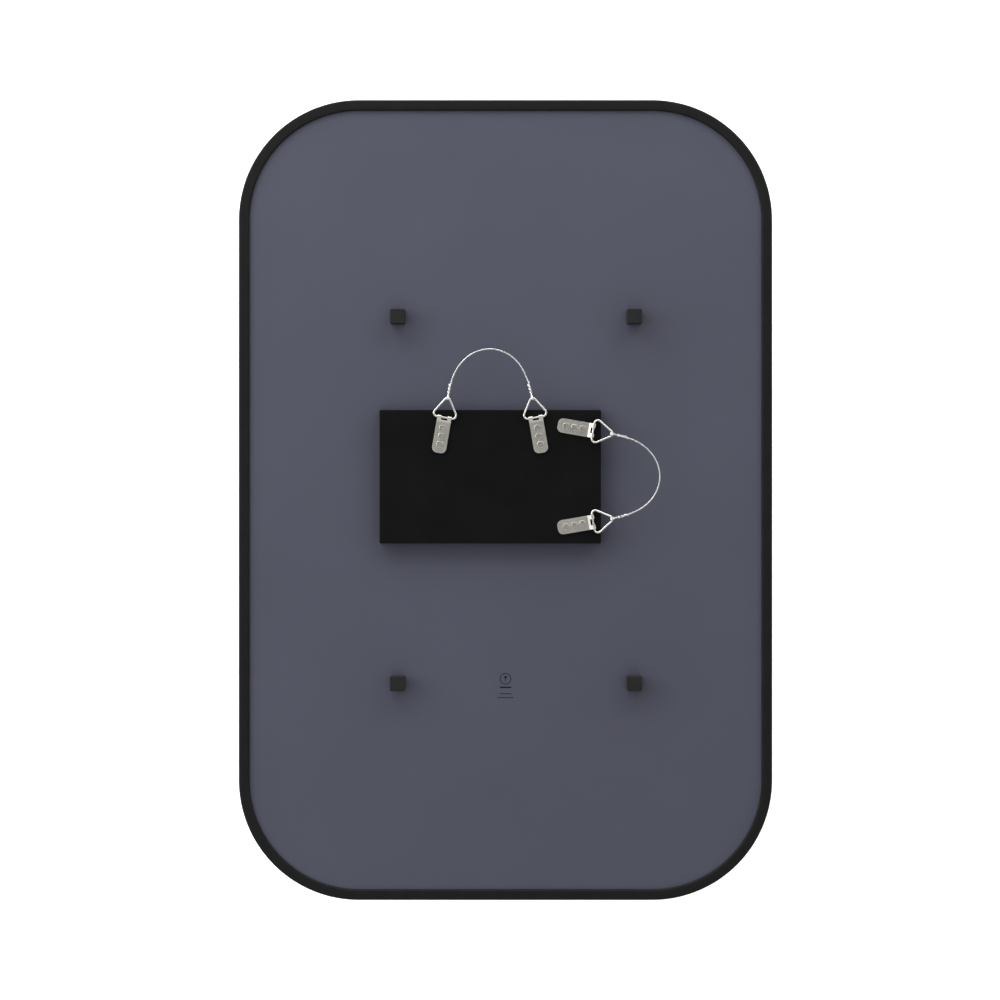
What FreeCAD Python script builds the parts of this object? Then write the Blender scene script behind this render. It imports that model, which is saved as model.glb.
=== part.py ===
"""Rounded-rectangle wall mirror with a rubber rim and two wire hanging loops.

The frame is the mirror as it hangs: +Z up, +X to the right when facing its back, +Y from the wall
into the room. The wall is y = 0 and the origin is the middle of the outline on it, so the bumpers'
faces lie in y = 0 and the glass faces +Y. Millimetres throughout.
"""
import FreeCAD, Part
import math
import os

V = FreeCAD.Vector

# Outline and rim
MIRROR_WIDTH = 609.6
MIRROR_HEIGHT = 914.4
CORNER_RADIUS = 137.0
RIM_DEPTH = 25.4
RIM_WIDTH = 12.0
RIM_GRIP = 4.0  # how far the board's and glass's edges sit inside the rim
RIM_OUTER_ROUND = 2.0
RIM_INNER_ROUND = 2.0

# Layers, from the wall into the room
BUMPER_HEIGHT = 18.0
RECESS_DEPTH = 3.0
BOARD_THICKNESS = 12.0
TAPE_THICKNESS = 1.0
GLASS_THICKNESS = 5.0

BOARD_BACK = BUMPER_HEIGHT
BOARD_FRONT = BOARD_BACK + BOARD_THICKNESS
GLASS_BACK = BOARD_FRONT + TAPE_THICKNESS
GLASS_FRONT = GLASS_BACK + GLASS_THICKNESS
RIM_BACK = BOARD_BACK - RECESS_DEPTH
RIM_FRONT = RIM_BACK + RIM_DEPTH

# Tape between board and glass
TAPE_WIDTH = 25.0
TAPE_LENGTH = 640.0
TAPE_CENTRES_X = (-225.0, -75.0, 75.0, 225.0)

# Mounting block and the screws that hold it from the board's front
BLOCK_WIDTH = 252.0
BLOCK_HEIGHT = 152.0
BLOCK_THICKNESS = 12.0
BLOCK_CENTRE_X = -17.4
BLOCK_CENTRE_Z = 26.6
BLOCK_CHAMFER = 0.8
BLOCK_FACE = BOARD_BACK - BLOCK_THICKNESS
BLOCK_SCREW_SPACING_X = 100.0
BLOCK_SCREW_SPACING_Z = 60.0
BLOCK_SCREW_HEAD_RADIUS = 4.0
BLOCK_SCREW_SHANK_RADIUS = 1.75
BLOCK_SCREW_HEAD_DEPTH = 2.25
BLOCK_SCREW_LENGTH = 20.0

# Bumpers
BUMPER_SIZE = 16.4
BUMPER_PAD_THICKNESS = 0.8
BUMPER_PAD_INSET = 0.6
BUMPER_CORNER_ROUND = 0.5
BUMPER_FACE_ROUND = 0.4
BUMPER_SPACING_X = 269.7
BUMPER_SPACING_Z = 418.0
BUMPER_CENTRE_X = 11.9

# Strap hangers: a steel strip folded in two round the ring's bar
STRIP_THICKNESS = 1.0
STRAP_WIDTH = 16.4
STRAP_LENGTH = 40.8
STRAP_END_ROUND = 6.0
SEAM_GAP = 0.12  # between the strip's two layers
CURL_OUTER_RADIUS = 2.3
CURL_BORE_RADIUS = CURL_OUTER_RADIUS - STRIP_THICKNESS
CURL_FOOT = 5.4  # where the curl comes down to the strap's flat part
CURL_SLOT_WIDTH = 6.8
CURL_SLOT_START = 2.9
STRAP_FACE = BLOCK_FACE - 2 * STRIP_THICKNESS
BAR_Y = BLOCK_FACE - CURL_OUTER_RADIUS
SCREW_OFFSETS = (12.3, 21.7, 31.1)  # from the ring's bar
STRAP_HOLE_RADIUS = 2.2

# Low-head screws in the straps
SCREW_HEAD_RADIUS = 3.9
SCREW_HEAD_HEIGHT = 0.9
SCREW_EDGE_ROUND = 0.45
SCREW_SHANK_RADIUS = 1.75
SCREW_LENGTH = 11.0
SCREW_TIP = 2.0
SCREW_CROSS_LENGTH = 4.0
SCREW_CROSS_WIDTH = 0.9
SCREW_CROSS_DEPTH = 0.6

# Triangular rings, bent from round wire
RING_WIRE_RADIUS = 1.2
RING_HALF_WIDTH = 12.75  # bar side, to the wire's centreline
RING_HEIGHT = 22.3  # bar to tip, centreline to centreline
RING_BASE_ROUND = 4.0
RING_TIP_ROUND = 3.5

# Hanging wire
WIRE_RADIUS = 0.8
EYE_RADIUS = 2.6  # the wire's centreline where it goes round the ring's tip
EYE_LEAN = 8.0  # degrees, the eye's lean from the ring's own axis
TWIST_RADIUS = 1.4
TWIST_START = EYE_RADIUS + WIRE_RADIUS + 0.3  # from the ring's tip
WIRE_JOIN_GAP = 0.4  # clearance between a twisted end and the loop, which turn on different axes
TANGENT_SHARE = 0.45  # part of the shorter run that a route's arc takes up at each corner

# Each pair of hangers, laid out in its own plane. The first of a route point's two numbers is its
# place across the pair, the second its distance out from the line through the two bars. The pair's
# outward direction is +Z for the top pair, and turned to +X for the side pair.
HANGER_LEAN = 9.8  # degrees, each hanger towards the middle of its pair
PAIRS = {
    "top": {
        "sides": ("left", "right"),
        "centre": (-17.6, 93.8),
        "turn": 0.0,
        "half_spacing": 51.9,
        "twist_left": ((-46.2, 33.8), (-44.3, 40.2)),
        "loop": ((-41.7, 48.0), (-37.4, 56.2), (-31.6, 63.9), (-24.5, 70.3), (-16.2, 75.0), (-6.9, 77.6),
                 (2.7, 78.3), (12.0, 76.2), (20.6, 72.3), (28.0, 66.7), (33.9, 59.9), (38.4, 52.4)),
        "twist_right": ((45.3, 33.9), (43.5, 40.3)),
    },
    "side": {
        "sides": ("upper", "lower"),
        "centre": (99.6, 26.9),
        "turn": 90.0,
        "half_spacing": 51.9,
        "twist_left": ((-45.5, 33.6), (-43.6, 40.0)),
        "loop": ((-40.6, 47.8), (-36.0, 55.9), (-30.0, 63.0), (-22.8, 69.1), (-14.4, 73.4), (-5.2, 75.8),
                 (4.2, 76.0), (13.2, 73.9), (21.7, 69.9), (29.1, 64.2), (35.1, 57.1), (39.6, 49.2)),
        "twist_right": ((45.4, 33.6), (43.4, 40.0)),
    },
}


BOX_MARGIN = 1e-4  # how nearly an edge's box has to be flat to count as flat


# ---------------------------------------------------------------- helpers

def rounded_outline(width, height, radius, y):
    """A closed wire: a rectangle with round corners in the plane at depth y."""
    across = width / 2 - radius
    up = height / 2 - radius
    centres = [V(across, y, up), V(-across, y, up), V(-across, y, -up), V(across, y, -up)]
    edges = []
    for index, centre in enumerate(centres):
        start = math.radians(90 * index)
        points = [centre + radius * V(math.cos(start + math.radians(step)), 0,
                                      math.sin(start + math.radians(step))) for step in (0, 45, 90)]
        edges.append((points, Part.Arc(*points).toShape()))
    wire = []
    for index, (points, arc) in enumerate(edges):
        wire.append(arc)
        following = edges[(index + 1) % len(edges)][0]
        wire.append(Part.LineSegment(points[-1], following[0]).toShape())
    return Part.Wire(wire)


def rounded_slab(width, height, radius, back, front):
    """A plate with round corners between two depths."""
    face = Part.Face(rounded_outline(width, height, radius, back))
    return face.extrude(V(0, front - back, 0))


def slab(centre_x, centre_z, width, height, back, front):
    """A rectangular plate between two depths."""
    corner = V(centre_x - width / 2, back, centre_z - height / 2)
    return Part.makeBox(width, front - back, height, corner)


def edges_along_y(shape):
    """The straight edges of a shape that run in depth."""
    found = []
    for edge in shape.Edges:
        ends = [vertex.Point for vertex in edge.Vertexes]
        if len(ends) == 2 and abs((ends[1] - ends[0]).normalize().y) > 0.999:
            found.append(edge)
    return found


def edges_at_depth(shape, depth):
    """The edges of a shape that lie wholly at one depth."""
    return [edge for edge in shape.Edges
            if abs(edge.BoundBox.YMin - depth) < BOX_MARGIN and abs(edge.BoundBox.YMax - depth) < BOX_MARGIN]


def rod(start, direction, radius, length):
    """A round bar."""
    return Part.makeCylinder(radius, length, start, direction)


def tube_along(points, radius):
    """A round bar along straight runs joined by tangent arcs, and the radii of those arcs."""
    edges = []
    radii = []
    previous = points[0]
    for before, corner, after in zip(points, points[1:], points[2:]):
        run_in = corner - before
        run_out = after - corner
        reach = TANGENT_SHARE * min(run_in.Length, run_out.Length)
        turn = run_in.getAngle(run_out)
        arc_radius = reach / math.tan(turn / 2)
        radii.append(arc_radius)
        into = V(run_in).normalize()
        out = V(run_out).normalize()
        start = corner - into * reach
        end = corner + out * reach
        towards_centre = (out - into).normalize()
        middle = corner + towards_centre * arc_radius * (1 / math.cos(turn / 2) - 1)
        edges.append(Part.LineSegment(previous, start).toShape())
        edges.append(Part.Arc(start, middle, end).toShape())
        previous = end
    edges.append(Part.LineSegment(previous, points[-1]).toShape())
    path = Part.Wire(edges)
    section = Part.Wire(Part.Circle(points[0], points[1] - points[0], radius).toShape())
    return path.makePipeShell([section], True, True), radii, path.Length


def belt(circles, y):
    """The closed wire that a tight belt makes round circles, given as (x, z, radius) anticlockwise."""
    touching = []
    for index, (x0, z0, r0) in enumerate(circles):
        x1, z1, r1 = circles[(index + 1) % len(circles)]
        heading = math.atan2(z1 - z0, x1 - x0)
        spread = math.asin((r0 - r1) / math.hypot(x1 - x0, z1 - z0))
        normal = heading - math.pi / 2 + spread
        touching.append((normal, x0 + r0 * math.cos(normal), z0 + r0 * math.sin(normal),
                         x1 + r1 * math.cos(normal), z1 + r1 * math.sin(normal)))
    edges = []
    for index, (normal, x0, z0, x1, z1) in enumerate(touching):
        edges.append(Part.LineSegment(V(x0, y, z0), V(x1, y, z1)).toShape())
        following = touching[(index + 1) % len(touching)]
        turn = (following[0] - normal) % (2 * math.pi)
        centre_x, centre_z, radius = circles[(index + 1) % len(circles)]
        halfway = normal + turn / 2
        middle = V(centre_x + radius * math.cos(halfway), y, centre_z + radius * math.sin(halfway))
        edges.append(Part.Arc(V(x1, y, z1), middle, V(following[1], y, following[2])).toShape())
    return Part.Wire(edges)


# ---------------------------------------------------------------- rim, board, tape and glass

def make_rim():
    solid = rounded_slab(MIRROR_WIDTH, MIRROR_HEIGHT, CORNER_RADIUS, RIM_BACK, RIM_FRONT)
    window = rounded_slab(MIRROR_WIDTH - 2 * RIM_WIDTH, MIRROR_HEIGHT - 2 * RIM_WIDTH,
                          CORNER_RADIUS - RIM_WIDTH, RIM_BACK, RIM_FRONT)
    outer_edges = edges_at_depth(solid, RIM_BACK) + edges_at_depth(solid, RIM_FRONT)
    ring = solid.makeFillet(RIM_OUTER_ROUND, outer_edges).cut(window)
    inner_reach = MIRROR_WIDTH / 2 - RIM_WIDTH + 0.1
    inner_edges = [edge for depth in (RIM_BACK, RIM_FRONT) for edge in edges_at_depth(ring, depth)
                   if max(abs(vertex.Point.x) for vertex in edge.Vertexes) < inner_reach
                   and max(abs(vertex.Point.z) for vertex in edge.Vertexes)
                   < MIRROR_HEIGHT / 2 - RIM_WIDTH + 0.1]
    ring = ring.makeFillet(RIM_INNER_ROUND, inner_edges)
    return ring.cut(edge_slab(BOARD_BACK, GLASS_FRONT))


def edge_slab(back, front):
    """A plate of the size that the rim's groove takes."""
    inset = RIM_WIDTH - RIM_GRIP
    return rounded_slab(MIRROR_WIDTH - 2 * inset, MIRROR_HEIGHT - 2 * inset, CORNER_RADIUS - inset,
                        back, front)


def block_screw_places():
    return [(BLOCK_CENTRE_X + column * BLOCK_SCREW_SPACING_X, BLOCK_CENTRE_Z + row * BLOCK_SCREW_SPACING_Z)
            for column in (-1, 0, 1) for row in (-0.5, 0.5)]


def make_block_screw(x, z):
    """A countersunk screw, head flush with the board's front, pointing at the wall."""
    head_bottom = BOARD_FRONT - BLOCK_SCREW_HEAD_DEPTH
    tip = BOARD_FRONT - BLOCK_SCREW_LENGTH
    profile = [V(0, BOARD_FRONT, 0), V(BLOCK_SCREW_HEAD_RADIUS, BOARD_FRONT, 0),
               V(BLOCK_SCREW_SHANK_RADIUS, head_bottom, 0),
               V(BLOCK_SCREW_SHANK_RADIUS, tip + SCREW_TIP, 0), V(0, tip, 0), V(0, BOARD_FRONT, 0)]
    screw = Part.Face(Part.makePolygon(profile)).revolve(V(0, 0, 0), V(0, 1, 0), 360)
    return screw.translated(V(x, 0, z))


def make_board(screws):
    return edge_slab(BOARD_BACK, BOARD_FRONT).cut(screws)


def make_tape():
    return [slab(x, 0, TAPE_WIDTH, TAPE_LENGTH, BOARD_FRONT, GLASS_BACK) for x in TAPE_CENTRES_X]


def make_block(screws):
    block = slab(BLOCK_CENTRE_X, BLOCK_CENTRE_Z, BLOCK_WIDTH, BLOCK_HEIGHT, BLOCK_FACE, BOARD_BACK)
    visible = edges_along_y(block) + edges_at_depth(block, BLOCK_FACE)
    return block.makeChamfer(BLOCK_CHAMFER, visible).cut(screws)


# ---------------------------------------------------------------- bumpers

def bumper_places():
    return {f"{row_name}_{column_name}": (BUMPER_CENTRE_X + column * BUMPER_SPACING_X / 2,
                                          row * BUMPER_SPACING_Z / 2)
            for row_name, row in (("upper", 1), ("lower", -1))
            for column_name, column in (("left", -1), ("right", 1))}


def make_bumper(x, z):
    front = BUMPER_HEIGHT - BUMPER_PAD_THICKNESS
    block = slab(x, z, BUMPER_SIZE, BUMPER_SIZE, 0, front)
    block = block.makeFillet(BUMPER_CORNER_ROUND, edges_along_y(block))
    return block.makeFillet(BUMPER_FACE_ROUND, edges_at_depth(block, 0))


def make_bumper_pad(x, z):
    size = BUMPER_SIZE - 2 * BUMPER_PAD_INSET
    return slab(x, z, size, size, BUMPER_HEIGHT - BUMPER_PAD_THICKNESS, BUMPER_HEIGHT)


# ------------------------------------------------- hanger pieces, ring bar at x = z = 0, tip up +Z

def make_strap():
    """The folded strip lies on the block, runs down -Z from the bar, and curls round the bar."""
    angle_to_foot = math.atan2(STRAP_FACE - BAR_Y, -CURL_FOOT)
    foot_distance = math.hypot(CURL_FOOT, STRAP_FACE - BAR_Y)
    tangent_angle = angle_to_foot + math.acos(CURL_OUTER_RADIUS / foot_distance)
    radial = V(0, math.sin(tangent_angle), math.cos(tangent_angle))
    bar = V(0, BAR_Y, 0)
    tangent = bar + radial * CURL_OUTER_RADIUS
    foot = V(0, STRAP_FACE, -CURL_FOOT)
    under = V(0, BLOCK_FACE, 0)
    outline = Part.Wire([
        Part.LineSegment(V(0, BLOCK_FACE, -STRAP_LENGTH), under).toShape(),
        Part.Arc(under, bar + V(0, 0, CURL_OUTER_RADIUS), tangent).toShape(),
        Part.LineSegment(tangent, foot).toShape(),
        Part.LineSegment(foot, V(0, STRAP_FACE, -STRAP_LENGTH)).toShape(),
        Part.LineSegment(V(0, STRAP_FACE, -STRAP_LENGTH), V(0, BLOCK_FACE, -STRAP_LENGTH)).toShape(),
    ])
    strap = across_strap(outline, STRAP_WIDTH)
    far_corners = [edge for edge in edges_along_y(strap) if edge.BoundBox.ZMax < -STRAP_LENGTH + 0.1]
    strap = strap.makeFillet(STRAP_END_ROUND, far_corners)

    # The hollow of the fold: the curl's bore, the wedge behind it and the seam between the two layers.
    seam_back = BLOCK_FACE - STRIP_THICKNESS - SEAM_GAP
    inner_bottom = V(0, BLOCK_FACE - STRIP_THICKNESS, 0)
    inner_tangent = bar + radial * CURL_BORE_RADIUS
    slope = foot - tangent
    inner_foot = inner_tangent + slope * ((seam_back - inner_tangent.y) / slope.y)
    beyond = -STRAP_LENGTH - STRIP_THICKNESS
    seam_ends = [V(0, seam_back, beyond), V(0, inner_bottom.y, beyond)]
    hollow = across_strap(Part.Wire([
        Part.Arc(inner_bottom, bar + V(0, 0, CURL_BORE_RADIUS), inner_tangent).toShape(),
        Part.LineSegment(inner_tangent, inner_foot).toShape(),
        Part.LineSegment(inner_foot, seam_ends[0]).toShape(),
        Part.LineSegment(*seam_ends).toShape(),
        Part.LineSegment(seam_ends[1], inner_bottom).toShape(),
    ]), 2 * STRAP_WIDTH)
    slot = slab(0, 0, CURL_SLOT_WIDTH, 2 * CURL_SLOT_START, 0, BLOCK_FACE)
    holes = [rod(V(0, 0, -offset), V(0, 1, 0), STRAP_HOLE_RADIUS, BLOCK_FACE) for offset in SCREW_OFFSETS]
    return strap.cut([hollow, slot] + holes)


def across_strap(outline, width):
    """Extrudes an outline in the plane x = 0 evenly to both sides."""
    return Part.Face(outline).extrude(V(width, 0, 0)).translated(V(-width / 2, 0, 0))


def make_strap_screw(offset):
    """A low-head cross-recess screw through the strap into the block."""
    head_top = STRAP_FACE - SCREW_HEAD_HEIGHT
    flat_radius = SCREW_HEAD_RADIUS - SCREW_EDGE_ROUND
    quarter = SCREW_EDGE_ROUND * math.sqrt(0.5)
    edge = Part.Arc(V(flat_radius, head_top, 0),
                    V(flat_radius + quarter, head_top + SCREW_EDGE_ROUND - quarter, 0),
                    V(SCREW_HEAD_RADIUS, head_top + SCREW_EDGE_ROUND, 0)).toShape()
    rest = [V(SCREW_HEAD_RADIUS, head_top + SCREW_EDGE_ROUND, 0), V(SCREW_HEAD_RADIUS, STRAP_FACE, 0),
            V(SCREW_SHANK_RADIUS, STRAP_FACE, 0),
            V(SCREW_SHANK_RADIUS, STRAP_FACE + SCREW_LENGTH - SCREW_TIP, 0),
            V(0, STRAP_FACE + SCREW_LENGTH, 0), V(0, head_top, 0), V(flat_radius, head_top, 0)]
    profile = Part.Wire([edge] + Part.makePolygon(rest).Edges)
    screw = Part.Face(profile).revolve(V(0, 0, 0), V(0, 1, 0), 360)
    long_way = slab(0, 0, SCREW_CROSS_LENGTH, SCREW_CROSS_WIDTH, head_top, head_top + SCREW_CROSS_DEPTH)
    short_way = slab(0, 0, SCREW_CROSS_WIDTH, SCREW_CROSS_LENGTH, head_top, head_top + SCREW_CROSS_DEPTH)
    return screw.cut([long_way, short_way]).translated(V(0, 0, -offset))


def make_ring():
    base = RING_HALF_WIDTH - RING_BASE_ROUND
    path = belt([(-base, RING_BASE_ROUND, RING_BASE_ROUND), (base, RING_BASE_ROUND, RING_BASE_ROUND),
                 (0, RING_HEIGHT - RING_TIP_ROUND, RING_TIP_ROUND)], BAR_Y)
    start = path.Edges[0].Vertexes[0].Point
    section = Part.Wire(Part.Circle(start, V(1, 0, 0), RING_WIRE_RADIUS).toShape())
    return path.makePipeShell([section], True, True)


def make_eye(lean):
    """The wire's turn round the ring's tip, as a plain closed ring."""
    tip = V(0, BAR_Y, RING_HEIGHT)
    eye = Part.makeTorus(EYE_RADIUS, WIRE_RADIUS, tip, V(1, 0, 0))
    eye.rotate(tip, V(0, 1, 0), lean)
    return eye


# ---------------------------------------------------------------- placing a pair

def in_place(shape, pair):
    """Takes a shape from its pair's own plane to the mirror."""
    centre_x, centre_z = pair["centre"]
    placed = shape.copy()
    placed.rotate(V(0, 0, 0), V(0, 1, 0), pair["turn"])
    return placed.translated(V(centre_x, 0, centre_z))


def lean_hanger(shape, pair, side):
    """Takes a hanger piece to its place in the pair's plane: side is -1 or +1."""
    leaned = shape.copy()
    leaned.rotate(V(0, 0, 0), V(0, 1, 0), -side * HANGER_LEAN)
    return leaned.translated(V(side * pair["half_spacing"], 0, 0))


def ring_tip(pair, side):
    lean = math.radians(HANGER_LEAN)
    return V(side * (pair["half_spacing"] - RING_HEIGHT * math.sin(lean)), BAR_Y,
             RING_HEIGHT * math.cos(lean))


def in_plane(points):
    return [V(across, BAR_Y, out) for across, out in points]


def make_twist(pair, side, name):
    """The wire wrapped back on itself, from beside the eye to the start of the loop."""
    tip = ring_tip(pair, side)
    route = in_plane(pair["twist_left"] if side < 0 else pair["twist_right"])
    start = tip + (route[0] - tip).normalize() * TWIST_START
    solid, radii, length = tube_along([start] + route, TWIST_RADIUS)
    report_route(name, solid, TWIST_RADIUS, radii, length)
    return solid


def make_loop(pair, name):
    """The free stretch of wire between the two twisted ends."""
    start = V(*in_plane(pair["twist_left"])[-1])
    end = V(*in_plane(pair["twist_right"])[-1])
    middle = in_plane(pair["loop"])
    start = start + (middle[0] - start).normalize() * WIRE_JOIN_GAP
    end = end + (middle[-1] - end).normalize() * WIRE_JOIN_GAP
    solid, radii, length = tube_along([start] + middle + [end], WIRE_RADIUS)
    report_route(name, solid, WIRE_RADIUS, radii, length)
    return solid


def report_route(name, solid, radius, radii, length):
    expected = math.pi * radius ** 2 * length
    print(f"{name}: length {length:.1f}, volume {solid.Volume:.1f} of {expected:.1f}, "
          f"radii {', '.join(f'{value:.0f}' for value in radii)}")


# ---------------------------------------------------------------- the whole mirror

def build():
    nodes = {}
    block_screws = [make_block_screw(x, z) for x, z in block_screw_places()]
    strap_screws = []
    for pair_name, pair in PAIRS.items():
        for side, side_name in zip((-1, 1), pair["sides"]):
            name = f"{pair_name}_{side_name}"
            screws = [in_place(lean_hanger(make_strap_screw(offset), pair, side), pair)
                      for offset in SCREW_OFFSETS]
            strap_screws += screws
            nodes[f"{name}_strap"] = in_place(lean_hanger(make_strap(), pair, side), pair)
            nodes[f"{name}_strap_screws"] = Part.makeCompound(screws)
            nodes[f"{name}_d_ring"] = in_place(lean_hanger(make_ring(), pair, side), pair)
            nodes[f"{name}_wire_eye"] = in_place(lean_hanger(make_eye(-side * EYE_LEAN), pair, side), pair)
            nodes[f"{name}_wire_twist"] = in_place(make_twist(pair, side, f"{name}_wire_twist"), pair)
        nodes[f"{pair_name}_wire_loop"] = in_place(make_loop(pair, f"{pair_name}_wire_loop"), pair)
    nodes["rubber_rim"] = make_rim()
    nodes["mirror_glass"] = edge_slab(GLASS_BACK, GLASS_FRONT)
    nodes["glass_tape_strips"] = Part.makeCompound(make_tape())
    nodes["back_board"] = make_board(block_screws)
    nodes["mounting_block"] = make_block(block_screws + strap_screws)
    nodes["block_screws"] = Part.makeCompound(block_screws)
    for place, (x, z) in bumper_places().items():
        nodes[f"bumper_{place}"] = make_bumper(x, z)
    nodes["bumper_pads"] = Part.makeCompound([make_bumper_pad(x, z) for x, z in bumper_places().values()])
    return nodes


os.makedirs("parts", exist_ok=True)
for node, shape in build().items():
    shape.exportStep(f"parts/{node}.step")
    box = shape.BoundBox
    print(f"{node}: {len(shape.Solids)} solids, volume {shape.Volume:.0f}, valid {shape.isValid()}, "
          f"x {box.XMin:.1f} to {box.XMax:.1f}, y {box.YMin:.1f} to {box.YMax:.1f}, "
          f"z {box.ZMin:.1f} to {box.ZMax:.1f}")
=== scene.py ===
"""The looks of a wall mirror seen from behind: rubber rim, painted board and block, two wire hangers.

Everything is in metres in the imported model's frame: +Z up, +X right when facing the mirror's back,
+Y from the wall into the room, with the wall at y = 0.
"""
import bpy
import bmesh
import math
from mathutils import Matrix, Vector


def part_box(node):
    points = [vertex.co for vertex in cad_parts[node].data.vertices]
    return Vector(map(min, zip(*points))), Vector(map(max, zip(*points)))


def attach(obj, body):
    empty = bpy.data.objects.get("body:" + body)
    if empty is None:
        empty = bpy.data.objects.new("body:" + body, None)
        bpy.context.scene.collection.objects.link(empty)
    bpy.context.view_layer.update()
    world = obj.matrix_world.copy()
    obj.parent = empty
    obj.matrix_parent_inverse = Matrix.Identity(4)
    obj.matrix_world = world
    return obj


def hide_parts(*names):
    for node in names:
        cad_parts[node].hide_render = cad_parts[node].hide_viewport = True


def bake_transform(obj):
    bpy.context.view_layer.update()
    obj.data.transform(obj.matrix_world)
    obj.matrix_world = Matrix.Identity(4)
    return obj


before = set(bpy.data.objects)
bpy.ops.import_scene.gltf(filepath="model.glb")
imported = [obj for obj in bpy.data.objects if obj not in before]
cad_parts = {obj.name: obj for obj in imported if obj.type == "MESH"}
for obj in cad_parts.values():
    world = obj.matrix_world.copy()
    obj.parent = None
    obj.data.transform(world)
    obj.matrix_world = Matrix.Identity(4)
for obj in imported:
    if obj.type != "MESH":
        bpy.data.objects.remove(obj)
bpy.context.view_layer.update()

MM = 0.001

# ---------------------------------------------------------------- camera

CAMERA_PLACE = (-0.00628, -2.5239, 0.0)
CAMERA_LENS = 80.0
CAMERA_SENSOR = 36.0


def make_camera():
    """Square on to the mirror's back."""
    data = bpy.data.cameras.new("camera")
    data.lens = CAMERA_LENS
    data.sensor_width = CAMERA_SENSOR
    data.clip_start = 0.01
    data.clip_end = 100.0
    camera = bpy.data.objects.new("camera", data)
    camera.location = CAMERA_PLACE
    camera.rotation_euler = (math.radians(90), 0, 0)
    bpy.context.collection.objects.link(camera)
    bpy.context.scene.camera = camera


# ---------------------------------------------------------------- mesh helpers

def new_mesh_object(name, vertices, faces, smooth_angle=35.0):
    """A mesh object with smooth shading that breaks at edges sharper than the angle in degrees."""
    mesh = bpy.data.meshes.new(name)
    mesh.from_pydata(vertices, [], faces)
    mesh.update()
    mesh.shade_smooth()
    mesh.set_sharp_from_angle(angle=math.radians(smooth_angle))
    piece = bpy.data.objects.new(name, mesh)
    bpy.context.collection.objects.link(piece)
    return piece


def smooth_step(value, start, end):
    """0 before start, 1 after end, and an even curve between them."""
    share = min(1.0, max(0.0, (value - start) / (end - start)))
    return share * share * (3 - 2 * share)


# ---------------------------------------------------------------- wire

WIRE_RADIUS = 0.8 * MM
STRAND_COUNT = 6
STRAND_LAY = 11.0 * MM  # length in which a strand goes once round the wire
STRAND_SIDES = 8
LOOP_STEP = 0.45 * MM
AXIS_STEP = 0.2 * MM
TWIST_STEP = 0.4 * MM

BAR_Y = 3.7
RING_HEIGHT = 22.3
HANGER_LEAN = math.radians(9.8)

# The routes of the two hangers' wires, in millimetres: across each pair, and out from it.
PAIRS = {
    "top": {
        "sides": ("left", "right"),
        "centre": (-17.6, 93.8),
        "turned": False,
        "half_spacing": 51.9,
        "twist_left": ((-46.2, 33.8), (-44.3, 40.2)),
        "loop": (
            (-41.7, 48.0), (-37.4, 56.2), (-31.6, 63.9), (-24.5, 70.3), (-16.2, 75.0), (-6.9, 77.6),
            (2.7, 78.3), (12.0, 76.2), (20.6, 72.3), (28.0, 66.7), (33.9, 59.9), (38.4, 52.4),
        ),
        "twist_right": ((45.3, 33.9), (43.5, 40.3)),
        "free_length": 0.1235,
    },
    "side": {
        "sides": ("upper", "lower"),
        "centre": (99.6, 26.9),
        "turned": True,
        "half_spacing": 51.9,
        "twist_left": ((-45.5, 33.6), (-43.6, 40.0)),
        "loop": (
            (-40.6, 47.8), (-36.0, 55.9), (-30.0, 63.0), (-22.8, 69.1), (-14.4, 73.4), (-5.2, 75.8),
            (4.2, 76.0), (13.2, 73.9), (21.7, 69.9), (29.1, 64.2), (35.1, 57.1), (39.6, 49.2),
        ),
        "twist_right": ((45.4, 33.6), (43.4, 40.0)),
        "free_length": 0.120,
    },
}
LOOP_TUCK = 3.5 * MM  # how far the loop's ends reach into the twisted ends


def pair_point(pair, across, out):
    """A point of a pair's own plane, in the frame."""
    centre_x, centre_z = pair["centre"]
    if pair["turned"]:
        return Vector((centre_x + out, BAR_Y, centre_z - across)) * MM
    return Vector((centre_x + across, BAR_Y, centre_z + out)) * MM


def ring_tip(pair, side):
    across = side * (pair["half_spacing"] - RING_HEIGHT * math.sin(HANGER_LEAN))
    return pair_point(pair, across, RING_HEIGHT * math.cos(HANGER_LEAN))


def twist_route(pair, side):
    return [pair_point(pair, *point) for point in pair["twist_left" if side < 0 else "twist_right"]]


def lengths_along(points):
    """The distance of each point from the first, along the line."""
    total = 0.0
    found = [0.0]
    for before, after in zip(points, points[1:]):
        total += (after - before).length
        found.append(total)
    return found


def evenly_spaced(points, step):
    """The same line with points about one step apart."""
    along = lengths_along(points)
    count = max(2, round(along[-1] / step))
    result = []
    index = 0
    for number in range(count + 1):
        wanted = along[-1] * number / count
        while index < len(points) - 2 and along[index + 1] < wanted:
            index += 1
        run = along[index + 1] - along[index]
        share = (wanted - along[index]) / run if run else 0.0
        result.append(points[index].lerp(points[index + 1], share))
    return result


def nurbs_line(name, route):
    """The points of a smooth curve that a route's points pull into shape."""
    data = bpy.data.curves.new(name, "CURVE")
    data.dimensions = "3D"
    data.resolution_u = 24
    spline = data.splines.new("NURBS")
    spline.points.add(len(route) - 1)
    for point, place in zip(spline.points, route):
        point.co = (*place, 1.0)
    spline.order_u = 3
    spline.use_endpoint_u = True
    curve = bpy.data.objects.new(name, data)
    bpy.context.collection.objects.link(curve)
    line = bpy.data.meshes.new_from_object(curve)
    points = [vertex.co.copy() for vertex in line.vertices]
    bpy.data.meshes.remove(line)
    bpy.data.objects.remove(curve)
    bpy.data.curves.remove(data)
    return points


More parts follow.
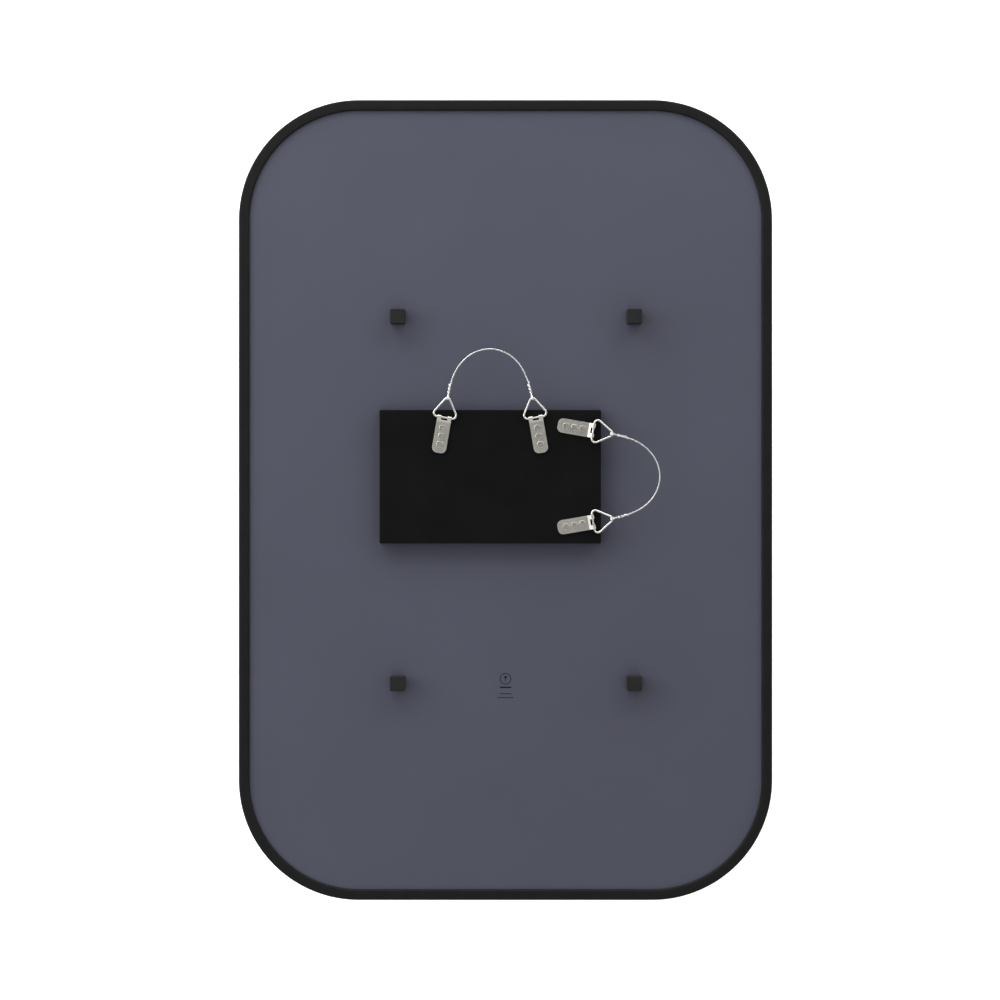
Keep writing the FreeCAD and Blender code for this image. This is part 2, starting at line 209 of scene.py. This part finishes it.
def travelling_frames(points):
    """Two directions square to the line at each point, carried along it without needless turning."""
    tangents = []
    for index in range(len(points)):
        before = points[max(0, index - 1)]
        after = points[min(len(points) - 1, index + 1)]
        tangents.append((after - before).normalized())
    side = tangents[0].orthogonal().normalized()
    frames = []
    for tangent in tangents:
        side = (side - tangent * side.dot(tangent)).normalized()
        frames.append((side, tangent.cross(side)))
    return frames


def add_tube(vertices, faces, centres, frames, radius, sides):
    """Adds a closed round tube to the lists, with flat ends."""
    first = len(vertices)
    for centre, (side, up) in zip(centres, frames):
        for step in range(sides):
            angle = 2 * math.pi * step / sides
            vertices.append(centre + (side * math.cos(angle) + up * math.sin(angle)) * radius)
    for ring in range(len(centres) - 1):
        for step in range(sides):
            a = first + ring * sides + step
            b = first + ring * sides + (step + 1) % sides
            faces.append((a, b, b + sides, a + sides))
    last = first + (len(centres) - 1) * sides
    faces.append(tuple(first + step for step in reversed(range(sides))))
    faces.append(tuple(last + step for step in range(sides)))


def stranded_wire(name, points):
    """A wire of a core and strands laid round it, along a line."""
    strand_radius = WIRE_RADIUS / 3
    along = lengths_along(points)
    frames = travelling_frames(points)
    vertices = []
    faces = []
    add_tube(vertices, faces, points, frames, strand_radius, STRAND_SIDES)
    for strand in range(STRAND_COUNT):
        centres = []
        for point, (side, up), distance in zip(points, frames, along):
            angle = 2 * math.pi * (strand / STRAND_COUNT + distance / STRAND_LAY)
            centres.append(point + (side * math.cos(angle) + up * math.sin(angle)) * 2 * strand_radius)
        add_tube(vertices, faces, centres, travelling_frames(centres), strand_radius, STRAND_SIDES)
    return new_mesh_object(name, vertices, faces, smooth_angle=60.0)


def make_wire_loop(pair_name, pair):
    """The free stretch of wire between a pair's two twisted ends."""
    left = twist_route(pair, -1)
    right = twist_route(pair, 1)
    first = left[-1] - (left[-1] - left[-2]).normalized() * LOOP_TUCK
    last = right[-1] - (right[-1] - right[-2]).normalized() * LOOP_TUCK
    middle = [pair_point(pair, *point) for point in pair["loop"]]
    line = nurbs_line(f"{pair_name}_route", [first, left[-1], *middle, right[-1], last])
    line = evenly_spaced(line, LOOP_STEP)
    loop = stranded_wire(f"{pair_name}_loop_wire", line)
    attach(loop, f"{pair_name}_loop")
    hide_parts(f"{pair_name}_wire_loop")
    return loop


# ---------------------------------------------------------------- twisted ends

EYE_RADIUS = 2.6 * MM  # the wire's centreline where it turns round the ring's tip
EYE_TURNS = 2
EYE_SPREAD = 1.6 * MM  # between the middles of neighbouring turns
EYE_OPEN_ANGLE = 62.0  # degrees from the wire's direction to where a leg leaves the turn
TWIST_START = 4.0 * MM  # from the ring's tip to where the two legs lie side by side
TWIST_PITCH = 7.6 * MM
TWIST_WIND_UP = 1.6 * MM  # length in which the turning gets up to its full rate
STANDING_STRAIGHT = 2.6 * MM  # how much of the standing wire is straight at the twist's end
STANDING_EASE = 2.4 * MM
TAIL_SPREAD = 0.6  # how much further out the tail ends, in wire radii
SMOOTHING_PASSES = 12


def twist_axis(pair, side):
    """The middle line of a twisted end, from the ring's tip outwards."""
    tip = ring_tip(pair, side)
    route = twist_route(pair, side)
    line = nurbs_line("twist_route", [tip, tip.lerp(route[0], 0.5), *route])
    return evenly_spaced(line, AXIS_STEP)


def leg_of_twist(axis, phase, standing):
    """One of a twist's two wires, from the ring outwards."""
    along = lengths_along(axis)
    end = along[-1]
    frames = travelling_frames(axis)
    depth = Vector((0, 1, 0))
    result = []
    for point, (side, up), distance in zip(axis, frames, along):
        if distance < TWIST_START:
            continue
        tangent = side.cross(up)
        across = tangent.cross(depth).normalized()
        gone = distance - TWIST_START
        lag = TWIST_WIND_UP * (1 - math.exp(-gone / TWIST_WIND_UP))
        angle = phase + 2 * math.pi * (gone - lag) / TWIST_PITCH
        share = smooth_step(distance, end - STANDING_STRAIGHT - STANDING_EASE, end - STANDING_STRAIGHT)
        radius = WIRE_RADIUS * (1 - share if standing else 1 + TAIL_SPREAD * share)
        result.append(point + (depth * math.sin(angle) + across * math.cos(angle)) * radius)
    return result


def make_twisted_end(pair_name, pair, side, side_name):
    """The wire's turn round the ring and its two legs wound round each other."""
    axis = twist_axis(pair, side)
    tip = axis[0]
    out = (axis[1] - axis[0]).normalized()
    depth = Vector((0, 1, 0))
    standing = leg_of_twist(axis, math.pi / 2, True)
    tail = leg_of_twist(axis, -math.pi / 2, False)
    across = out.cross(depth).normalized()
    turn = []
    sweep = 360 * EYE_TURNS - 2 * EYE_OPEN_ANGLE
    steps = 24 * EYE_TURNS
    for step in range(steps + 1):
        share = step / steps
        angle = math.radians(EYE_OPEN_ANGLE + sweep * share)
        shift = EYE_SPREAD * (EYE_TURNS - 1) * (smooth_step(share, 0.2, 0.8) - 0.5)
        turn.append(tip + (out * math.cos(angle) + depth * math.sin(angle)) * EYE_RADIUS + across * shift)
    line = evenly_spaced([*reversed(standing), *turn, *tail], AXIS_STEP)
    for _ in range(SMOOTHING_PASSES):
        middle = [(a + 2 * b + c) / 4 for a, b, c in zip(line, line[1:], line[2:])]
        line = [line[0], *middle, line[-1]]
    line = evenly_spaced(line, TWIST_STEP)
    name = f"{pair_name}_{side_name}"
    piece = stranded_wire(f"{name}_twisted_end", line)
    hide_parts(f"{name}_wire_eye", f"{name}_wire_twist")
    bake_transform(piece)
    return piece


# ---------------------------------------------------------------- rim

CORNER_RADIUS = 137.0 * MM
RIM_WIDTH = 12.0 * MM
RIM_GROOVE = 8.0 * MM  # from the outer face to the groove's bottom
RIM_OUTER_ROUND = 2.0 * MM
RIM_INNER_ROUND = 2.0 * MM
RIM_BACK = 15.0 * MM
BOARD_BACK = 18.0 * MM
GLASS_FRONT = 36.0 * MM
RIM_FRONT = 40.4 * MM
CORNER_STEPS = 64


def rim_section():
    """The rim's section, as (distance in from the outer face, depth)."""
    rounds = (
        (RIM_OUTER_ROUND, RIM_BACK + RIM_OUTER_ROUND, RIM_OUTER_ROUND, 180, 270, 8),
        (RIM_WIDTH - RIM_INNER_ROUND, RIM_BACK + RIM_INNER_ROUND, RIM_INNER_ROUND, 270, 360, 8),
    )
    points = []
    for centre, depth, radius, start, end, steps in rounds:
        for step in range(steps + 1):
            angle = math.radians(start + (end - start) * step / steps)
            points.append((centre + radius * math.cos(angle), depth + radius * math.sin(angle)))
    points += [(RIM_WIDTH, BOARD_BACK), (RIM_GROOVE, BOARD_BACK), (RIM_GROOVE, GLASS_FRONT),
               (RIM_WIDTH, GLASS_FRONT)]
    for centre, depth, radius, start, end, steps in (
            (RIM_WIDTH - RIM_INNER_ROUND, RIM_FRONT - RIM_INNER_ROUND, RIM_INNER_ROUND, 0, 90, 8),
            (RIM_OUTER_ROUND, RIM_FRONT - RIM_OUTER_ROUND, RIM_OUTER_ROUND, 90, 180, 8)):
        for step in range(steps + 1):
            angle = math.radians(start + (end - start) * step / steps)
            points.append((centre + radius * math.cos(angle), depth + radius * math.sin(angle)))
    return points


def outline_stations():
    """Places round the outline: a corner's centre and the direction out of it."""
    low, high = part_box("rubber_rim")
    stations = []
    for quarter, (x, z) in enumerate(((high.x, high.z), (low.x, high.z), (low.x, low.z), (high.x, low.z))):
        centre = Vector((x - math.copysign(CORNER_RADIUS, x), 0, z - math.copysign(CORNER_RADIUS, z)))
        for step in range(CORNER_STEPS + 1):
            angle = math.radians(90 * (quarter + step / CORNER_STEPS))
            stations.append((centre, Vector((math.cos(angle), 0, math.sin(angle)))))
    return stations


def make_rim():
    section = rim_section()
    stations = outline_stations()
    vertices = []
    for centre, out in stations:
        for inset, depth in section:
            vertices.append(centre + out * (CORNER_RADIUS - inset) + Vector((0, depth, 0)))
    count = len(section)
    faces = []
    for station in range(len(stations)):
        following = (station + 1) % len(stations)
        for step in range(count):
            beside = (step + 1) % count
            faces.append((station * count + step, station * count + beside,
                          following * count + beside, following * count + step))
    rim = new_mesh_object("rim", vertices, faces)
    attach(rim, "mirror")
    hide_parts("rubber_rim")
    return rim


# ---------------------------------------------------------------- printed mark

MARK_CENTRE = (0.0, -204.5)
MARK_RADIUS = 6.5
MARK_LINE = 0.8
MARK_BARS = ((-9.8, 13.0, 1.6), (-17.1, 13.0, 0.8), (-21.5, 18.0, 0.8))  # height, length, thickness
PRINT_THICKNESS = 0.03


def flat_ring(centre_x, centre_z, radius, line, steps):
    """A flat ring as quads, each as its four corners."""
    quads = []
    for step in range(steps):
        corners = []
        for angle_step, distance in ((step, radius - line), (step, radius), (step + 1, radius),
                                     (step + 1, radius - line)):
            angle = 2 * math.pi * angle_step / steps
            corners.append((centre_x + distance * math.cos(angle), centre_z + distance * math.sin(angle)))
        quads.append(corners)
    return quads


def make_printed_mark():
    """A plain up arrow in a circle over three bars, printed on the board."""
    x, z = MARK_CENTRE
    half = MARK_LINE / 2
    shapes = flat_ring(x, z, MARK_RADIUS, MARK_LINE, 48)
    shapes.append([(x - half, z - 3.4), (x + half, z - 3.4), (x + half, z + 1.2), (x - half, z + 1.2)])
    shapes.append([(x - 2.2, z + 1.0), (x + 2.2, z + 1.0), (x, z + 3.8)])
    for row, width, thickness in MARK_BARS:
        low = z + row - thickness / 2
        high = z + row + thickness / 2
        start = x - width / 2
        end = x + width / 2
        shapes.append([(start, low), (end, low), (end, high), (start, high)])
    mesh = bmesh.new()
    for corners in shapes:
        back = [mesh.verts.new(Vector((cx, 0, cz)) * MM + Vector((0, BOARD_BACK, 0))) for cx, cz in corners]
        face = mesh.faces.new(back)
        moved = bmesh.ops.extrude_face_region(mesh, geom=[face])["geom"]
        raised = [item for item in moved if isinstance(item, bmesh.types.BMVert)]
        bmesh.ops.translate(mesh, verts=raised, vec=(0, -PRINT_THICKNESS * MM, 0))
    bmesh.ops.remove_doubles(mesh, verts=mesh.verts, dist=1e-7)
    bmesh.ops.recalc_face_normals(mesh, faces=mesh.faces)
    data = bpy.data.meshes.new("printed_mark")
    mesh.to_mesh(data)
    mesh.free()
    mark = bpy.data.objects.new("printed_mark", data)
    bpy.context.collection.objects.link(mark)
    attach(mark, "mirror")
    return mark


# ---------------------------------------------------------------- materials

def new_finish(name, colour, roughness, metallic=0.0, specular=0.5):
    """A material and its main shader."""
    material = bpy.data.materials.new(name)
    material.use_nodes = True
    shader = material.node_tree.nodes["Principled BSDF"]
    shader.inputs["Base Color"].default_value = (*colour, 1.0)
    shader.inputs["Roughness"].default_value = roughness
    shader.inputs["Metallic"].default_value = metallic
    shader.inputs["Specular IOR Level"].default_value = specular
    return material, shader


def object_place(tree, stretch=(1, 1, 1)):
    """The place on the object, in metres, stretched along the axes."""
    place = tree.nodes.new("ShaderNodeTexCoord")
    mapping = tree.nodes.new("ShaderNodeMapping")
    mapping.inputs["Scale"].default_value = stretch
    tree.links.new(place.outputs["Object"], mapping.inputs["Vector"])
    return mapping.outputs["Vector"]


def noise(tree, scale, detail=2.0, stretch=(1, 1, 1)):
    """A cloudy pattern from 0 to 1, with that many lumps in a metre."""
    texture = tree.nodes.new("ShaderNodeTexNoise")
    texture.inputs["Scale"].default_value = scale
    texture.inputs["Detail"].default_value = detail
    tree.links.new(object_place(tree, stretch), texture.inputs["Vector"])
    return texture.outputs["Fac"]


def spread(tree, pattern, low, high):
    """The pattern's middle range stretched to run from low to high."""
    ranged = tree.nodes.new("ShaderNodeMapRange")
    ranged.inputs["From Min"].default_value = 0.3
    ranged.inputs["From Max"].default_value = 0.7
    ranged.inputs["To Min"].default_value = low
    ranged.inputs["To Max"].default_value = high
    tree.links.new(pattern, ranged.inputs["Value"])
    return ranged.outputs["Result"]


def vary_colour(tree, shader, pattern, amount):
    """Lets the base colour go lighter and darker by a share with the pattern."""
    scaled = tree.nodes.new("ShaderNodeVectorMath")
    scaled.operation = "SCALE"
    colour = shader.inputs["Base Color"]
    if colour.is_linked:
        tree.links.new(colour.links[0].from_socket, scaled.inputs[0])
    else:
        scaled.inputs[0].default_value = colour.default_value[:3]
    tree.links.new(spread(tree, pattern, 1 - amount, 1 + amount), scaled.inputs["Scale"])
    tree.links.new(scaled.outputs["Vector"], colour)


def vary_roughness(tree, shader, pattern, low, high):
    tree.links.new(spread(tree, pattern, low, high), shader.inputs["Roughness"])


def add_bump(tree, shader, pattern, depth):
    """Adds relief of that depth in metres over any that the shader already has."""
    bump = tree.nodes.new("ShaderNodeBump")
    bump.inputs["Distance"].default_value = depth
    tree.links.new(pattern, bump.inputs["Height"])
    normal = shader.inputs["Normal"]
    if normal.is_linked:
        tree.links.new(normal.links[0].from_socket, bump.inputs["Normal"])
    tree.links.new(bump.outputs["Normal"], normal)


def round_edges(tree, shader, radius):
    """Shades sharp edges as if they were rounded."""
    bevel = tree.nodes.new("ShaderNodeBevel")
    bevel.samples = 6
    bevel.inputs["Radius"].default_value = radius
    tree.links.new(bevel.outputs["Normal"], shader.inputs["Normal"])


def rubber_finish(name, colour, specular):
    material, shader = new_finish(name, colour, 0.6, specular=specular)
    tree = material.node_tree
    vary_colour(tree, shader, noise(tree, 60, 3), 0.10)
    vary_colour(tree, shader, noise(tree, 2500, 2), 0.12)
    vary_roughness(tree, shader, noise(tree, 300, 3), 0.52, 0.68)
    add_bump(tree, shader, noise(tree, 2500, 2), 0.00004)
    return material


def board_finish():
    material, shader = new_finish("board_paint", (0.0978, 0.101, 0.1295), 0.55, specular=0.15)
    tree = material.node_tree
    vary_colour(tree, shader, noise(tree, 7, 2), 0.02)
    vary_colour(tree, shader, noise(tree, 1500, 3), 0.05)
    vary_roughness(tree, shader, noise(tree, 200, 3), 0.5, 0.62)
    add_bump(tree, shader, noise(tree, 900, 3), 0.00003)
    return material


def block_finish():
    material, shader = new_finish("block_paint", (0.0085, 0.0085, 0.0085), 0.6, specular=0.1)
    tree = material.node_tree
    round_edges(tree, shader, 0.0006)
    vary_colour(tree, shader, noise(tree, 25, 3), 0.12)
    vary_colour(tree, shader, noise(tree, 1200, 2), 0.15)
    vary_roughness(tree, shader, noise(tree, 150, 3), 0.5, 0.7)
    add_bump(tree, shader, noise(tree, 700, 3), 0.00004)
    return material


def metal_finish(name, colour, low, high, grain, stretch=(1, 1, 1), edge=0.0):
    material, shader = new_finish(name, colour, (low + high) / 2, metallic=1.0)
    tree = material.node_tree
    if edge:
        round_edges(tree, shader, edge)
    vary_colour(tree, shader, noise(tree, 90, 3), 0.06)
    vary_colour(tree, shader, noise(tree, 1400, 2, stretch), 0.08)
    vary_roughness(tree, shader, noise(tree, 500, 3, stretch), low, high)
    add_bump(tree, shader, noise(tree, 1600, 2, stretch), grain)
    return material


def glass_finish():
    material, shader = new_finish("mirror_silver", (0.90, 0.92, 0.915), 0.01, metallic=1.0)
    tree = material.node_tree
    vary_roughness(tree, shader, noise(tree, 6, 3), 0.004, 0.018)
    return material


def foam_finish():
    material, shader = new_finish("tape_foam", (0.62, 0.62, 0.60), 0.9, specular=0.2)
    tree = material.node_tree
    cells = tree.nodes.new("ShaderNodeTexVoronoi")
    cells.inputs["Scale"].default_value = 2500
    tree.links.new(object_place(tree), cells.inputs["Vector"])
    vary_colour(tree, shader, cells.outputs["Distance"], 0.1)
    add_bump(tree, shader, cells.outputs["Distance"], 0.0001)
    return material


def ink_finish():
    material, shader = new_finish("print_ink", (0.016, 0.017, 0.022), 0.5, specular=0.1)
    tree = material.node_tree
    vary_colour(tree, shader, noise(tree, 3000, 2), 0.2)
    vary_roughness(tree, shader, noise(tree, 1500, 2), 0.4, 0.6)
    return material


def paint(piece, material):
    piece.data.materials.clear()
    piece.data.materials.append(material)
    for polygon in piece.data.polygons:
        polygon.material_index = 0


def paint_node(name, material):
    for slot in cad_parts[name].material_slots:
        slot.material = material


# ---------------------------------------------------------------- stage

FLOOR_Z = -0.62
BACKDROP_Y = 0.12
BACKDROP_FULL = 0.85  # how far out it is fully white, before it fades out
BACKDROP_GONE = 1.6


def area_light(name, place, target, size, power, colour):
    data = bpy.data.lights.new(name, "AREA")
    data.shape = "DISK"
    data.size = size
    data.energy = power
    data.color = colour
    light = bpy.data.objects.new(name, data)
    light.location = place
    light.rotation_euler = (Vector(target) - Vector(place)).to_track_quat("-Z", "Y").to_euler()
    bpy.context.collection.objects.link(light)
    return light


def stage_plane(name, corners):
    mesh = bpy.data.meshes.new(name)
    mesh.from_pydata(corners, [], [(0, 1, 2, 3)])
    plane = bpy.data.objects.new(name, mesh)
    bpy.context.collection.objects.link(plane)
    return plane


def make_floor():
    floor = stage_plane("floor", [(-8, -8, FLOOR_Z), (8, -8, FLOOR_Z), (8, 8, FLOOR_Z), (-8, 8, FLOOR_Z)])
    material, shader = new_finish("floor_pale", (0.50, 0.50, 0.50), 0.7, specular=0.1)
    vary_colour(material.node_tree, shader, noise(material.node_tree, 1.5, 2), 0.01)
    paint(floor, material)


def make_backdrop():
    """A white sheet behind the mirror as the main camera sees it. It can't be seen from its back."""
    half = BACKDROP_GONE
    backdrop = stage_plane("backdrop", [(-half, BACKDROP_Y, FLOOR_Z), (half, BACKDROP_Y, FLOOR_Z),
                                        (half, BACKDROP_Y, half), (-half, BACKDROP_Y, half)])
    backdrop.visible_diffuse = False
    backdrop.visible_glossy = False
    backdrop.visible_transmission = False
    backdrop.visible_shadow = False
    material, shader = new_finish("backdrop_white", (0.9, 0.9, 0.9), 1.0, specular=0.0)
    shader.inputs["Emission Color"].default_value = (1, 1, 1, 1)
    shader.inputs["Emission Strength"].default_value = 0.36
    tree = material.node_tree
    place = tree.nodes.new("ShaderNodeTexCoord")
    distance = tree.nodes.new("ShaderNodeVectorMath")
    distance.operation = "LENGTH"
    tree.links.new(place.outputs["Object"], distance.inputs[0])
    fade = tree.nodes.new("ShaderNodeMapRange")
    fade.interpolation_type = "SMOOTHSTEP"
    fade.inputs["From Min"].default_value = BACKDROP_FULL
    fade.inputs["From Max"].default_value = BACKDROP_GONE
    fade.inputs["To Min"].default_value = 1.0
    fade.inputs["To Max"].default_value = 0.0
    tree.links.new(distance.outputs["Value"], fade.inputs["Value"])
    facing = tree.nodes.new("ShaderNodeNewGeometry")
    front = tree.nodes.new("ShaderNodeMath")
    front.operation = "MULTIPLY_ADD"
    front.inputs[1].default_value = -1.0
    front.inputs[2].default_value = 1.0
    tree.links.new(facing.outputs["Backfacing"], front.inputs[0])
    shown = tree.nodes.new("ShaderNodeMath")
    shown.operation = "MULTIPLY"
    tree.links.new(front.outputs["Value"], shown.inputs[0])
    tree.links.new(fade.outputs["Result"], shown.inputs[1])
    tree.links.new(shown.outputs["Value"], shader.inputs["Alpha"])
    paint(backdrop, material)


RING_LIGHT = 3.7  # radiance of the bright band that runs round the mirror's back
DARK_BEHIND_CAMERA = 0.3
ROOM_LIGHT = 0.75
RING_RISES = (0.22, 0.28)  # shares of the way from straight behind the mirror to straight in front
RING_FALLS = (0.48, 0.56)
MORE_FROM_LEFT = -0.36
MORE_FROM_ABOVE = 0.16
SKY_SEEN = 0.82  # the world's plain tone where a camera looks straight at it


def curve_of(tree, value, points):
    """A colour ramp of greys over a value from 0 to 1. Its points rise in position."""
    ramp = tree.nodes.new("ShaderNodeValToRGB")
    elements = ramp.color_ramp.elements
    while len(elements) < len(points):
        elements.new(0.5)
    for element, (position, level) in zip(elements, points):
        element.position = position
        element.color = (level, level, level, 1)
    tree.links.new(value, ramp.inputs["Fac"])
    return ramp.outputs["Color"]


def math_node(tree, operation, *values):
    """The result of an operation on sockets or numbers."""
    node = tree.nodes.new("ShaderNodeMath")
    node.operation = operation
    for index, value in enumerate(values):
        if isinstance(value, (int, float)):
            node.inputs[index].default_value = value
        else:
            tree.links.new(value, node.inputs[index])
    return node.outputs["Value"]


def make_world():
    """A bright band of light round the mirror's back, stronger on the left, and plain where it is seen."""
    world = bpy.data.worlds.new("studio")
    world.use_nodes = True
    tree = world.node_tree
    background = tree.nodes["Background"]
    place = tree.nodes.new("ShaderNodeTexCoord")
    split = tree.nodes.new("ShaderNodeSeparateXYZ")
    tree.links.new(place.outputs["Generated"], split.inputs["Vector"])
    toward_room = math_node(tree, "MULTIPLY_ADD", split.outputs["Y"], 0.5, 0.5)
    behind = DARK_BEHIND_CAMERA / RING_LIGHT
    room = ROOM_LIGHT / RING_LIGHT
    band = curve_of(tree, toward_room, (
        (0.0, behind), (RING_RISES[0], behind), (RING_RISES[1], 1.0),
        (RING_FALLS[0], 1.0), (RING_FALLS[1], room), (1.0, room)))
    sideways = math_node(tree, "MULTIPLY_ADD", split.outputs["X"], MORE_FROM_LEFT, 1.0)
    slope = math_node(tree, "MULTIPLY_ADD", split.outputs["Z"], MORE_FROM_ABOVE, sideways)
    level = math_node(tree, "MULTIPLY", math_node(tree, "MULTIPLY", band, slope), RING_LIGHT)
    seen = tree.nodes.new("ShaderNodeLightPath").outputs["Is Camera Ray"]
    shown = math_node(tree, "MULTIPLY_ADD", math_node(tree, "SUBTRACT", SKY_SEEN, level), seen, level)
    tree.links.new(shown, background.inputs["Strength"])
    background.inputs["Color"].default_value = (1, 1, 1, 1)
    bpy.context.scene.world = world


def make_lights():
    area_light("upper_left_light", (-0.6, -0.5, 1.1), (0, 0, 0.2), 0.8, 4.6, (1.0, 1.0, 1.0))
    area_light("upper_right_light", (0.6, -0.5, 1.1), (0, 0, 0.2), 0.8, 3.7, (1.0, 1.0, 1.0))
    area_light("left_light", (-1.3, -0.9, 0.3), (0, 0, 0), 0.8, 4.3, (1.0, 1.0, 1.0))


# ---------------------------------------------------------------- everything

make_camera()
wires = []
for pair_name, pair in PAIRS.items():
    wires.append(make_wire_loop(pair_name, pair))
    for side, side_name in zip((-1, 1), pair["sides"]):
        wires.append(make_twisted_end(pair_name, pair, side, side_name))
rim = make_rim()
mark = make_printed_mark()

rim_rubber = rubber_finish("rim_rubber", (0.0145, 0.0145, 0.0145), 0.2)
bumper_rubber = rubber_finish("bumper_rubber", (0.026, 0.026, 0.025), 0.2)
board_paint = board_finish()
block_paint = block_finish()
strap_zinc = metal_finish("strap_zinc", (0.55, 0.535, 0.495), 0.38, 0.5, 0.00003, edge=0.00025)
screw_zinc = metal_finish("screw_zinc", (0.62, 0.605, 0.56), 0.24, 0.34, 0.00002, edge=0.0002)
ring_zinc = metal_finish("ring_zinc", (0.66, 0.66, 0.64), 0.2, 0.32, 0.00001)
wire_steel = metal_finish("wire_steel", (0.68, 0.68, 0.665), 0.2, 0.32, 0.000005)
pad_foam = rubber_finish("pad_foam", (0.02, 0.02, 0.02), 0.2)

paint(rim, rim_rubber)
paint(mark, ink_finish())
for wire in wires:
    paint(wire, wire_steel)
paint_node("back_board", board_paint)
paint_node("mounting_block", block_paint)
paint_node("mirror_glass", glass_finish())
paint_node("glass_tape_strips", foam_finish())
paint_node("block_screws", screw_zinc)
paint_node("bumper_pads", pad_foam)
for row in ("upper", "lower"):
    for column in ("left", "right"):
        paint_node(f"bumper_{row}_{column}", bumper_rubber)
for pair_name, pair in PAIRS.items():
    for side_name in pair["sides"]:
        paint_node(f"{pair_name}_{side_name}_strap", strap_zinc)
        paint_node(f"{pair_name}_{side_name}_strap_screws", screw_zinc)
        paint_node(f"{pair_name}_{side_name}_d_ring", ring_zinc)

make_floor()
make_backdrop()
make_world()
make_lights()
bpy.context.scene.view_settings.view_transform = "Standard"
bpy.context.scene.view_settings.gamma = 0.8
